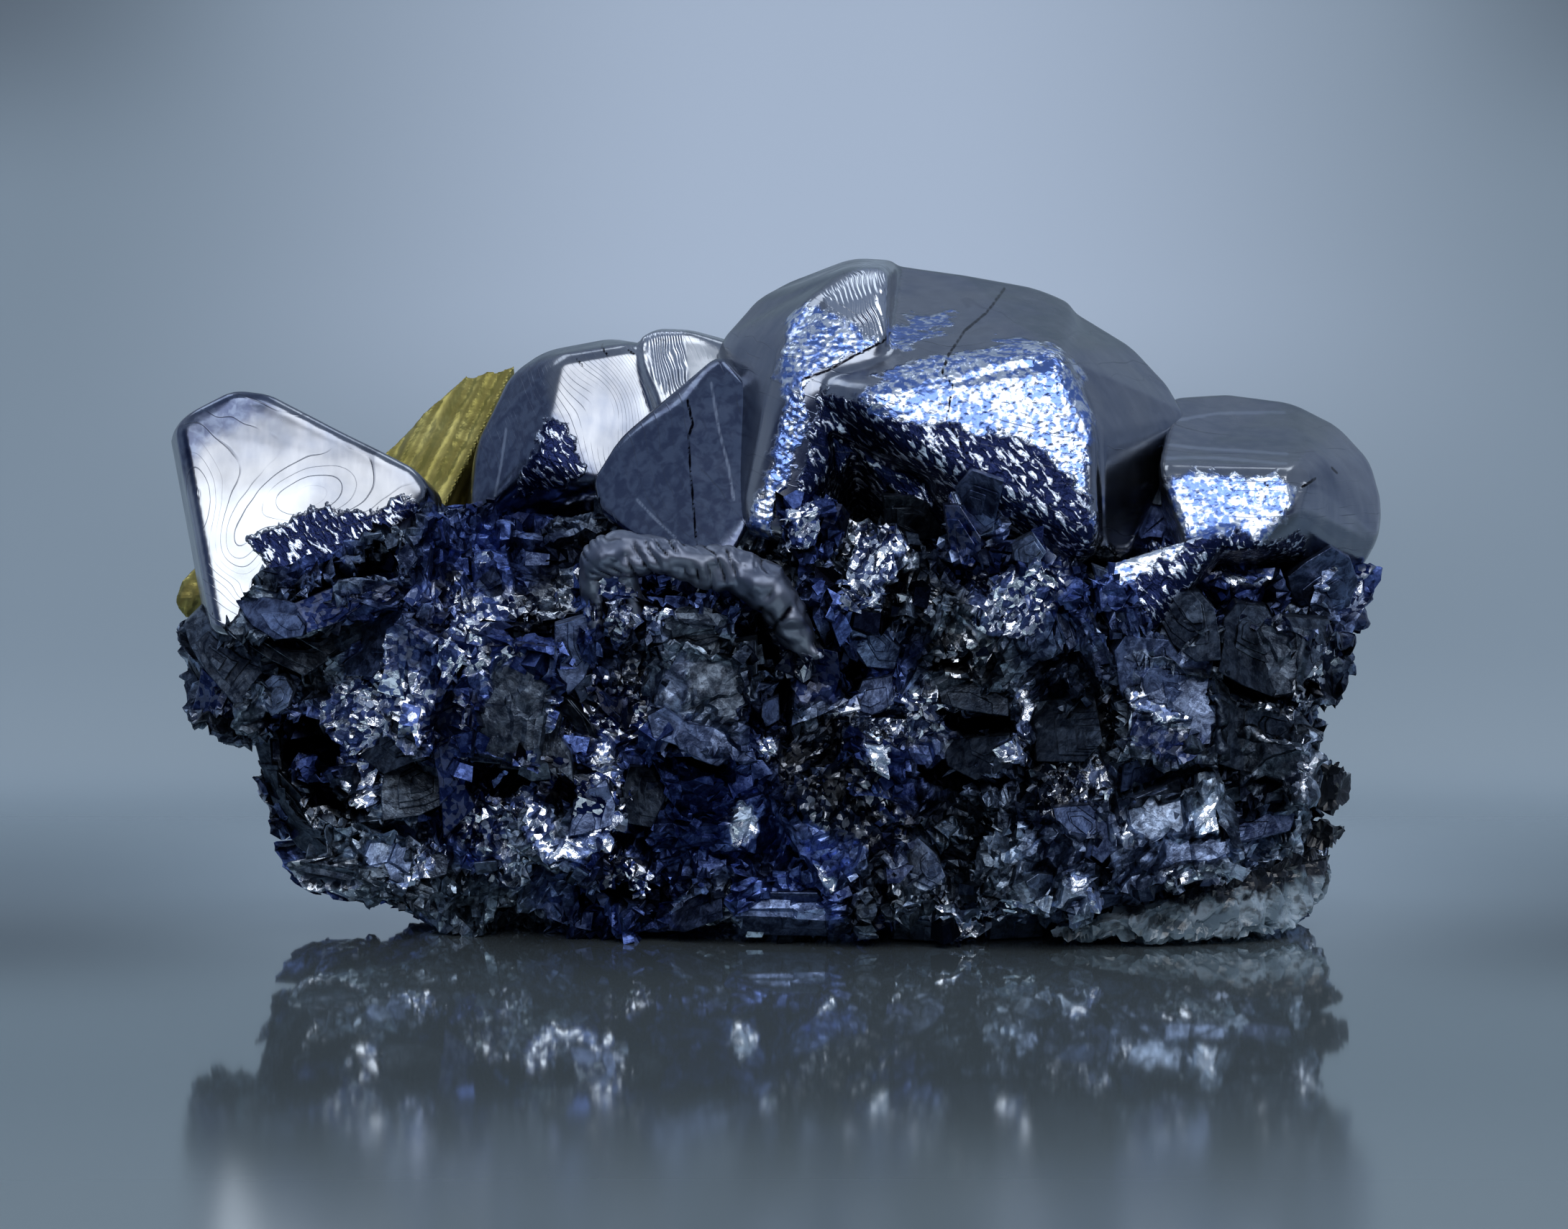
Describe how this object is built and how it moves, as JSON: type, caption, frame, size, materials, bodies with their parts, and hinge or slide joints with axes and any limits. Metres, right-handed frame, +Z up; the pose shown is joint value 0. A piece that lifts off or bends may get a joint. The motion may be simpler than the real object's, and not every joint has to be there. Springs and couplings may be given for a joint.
{
  "type": "mineral specimen",
  "caption": "Hand specimen of rounded metallic galena crystals on broken massive galena, with a brassy chalcopyrite crystal and milky quartz, resting on a flat underside.",
  "frame": {"origin": "middle of the bounding box seen from above, on the plane the specimen rests on", "axes": "+Z up, X along the specimen's length, -Y towards the front, the side that shows the crystals' bright faces"},
  "size_m": [0.0898, 0.0492, 0.049],
  "materials": {
    "galena": "lead-grey metallic lustre: mirror-smooth on the crystals, broken and dark on the mass",
    "chalcopyrite": "dull olive-brass, finely striated",
    "quartz": "milky, glassy on the broken faces"
  },
  "bodies": {
    "root": {"galena": "galena", "chalcopyrite_wedge": "chalcopyrite", "chalcopyrite_small": "chalcopyrite", "quartz_seam": "quartz", "quartz_knob_upper": "quartz", "quartz_knob_lower": "quartz"}
  },
  "joints": []
}
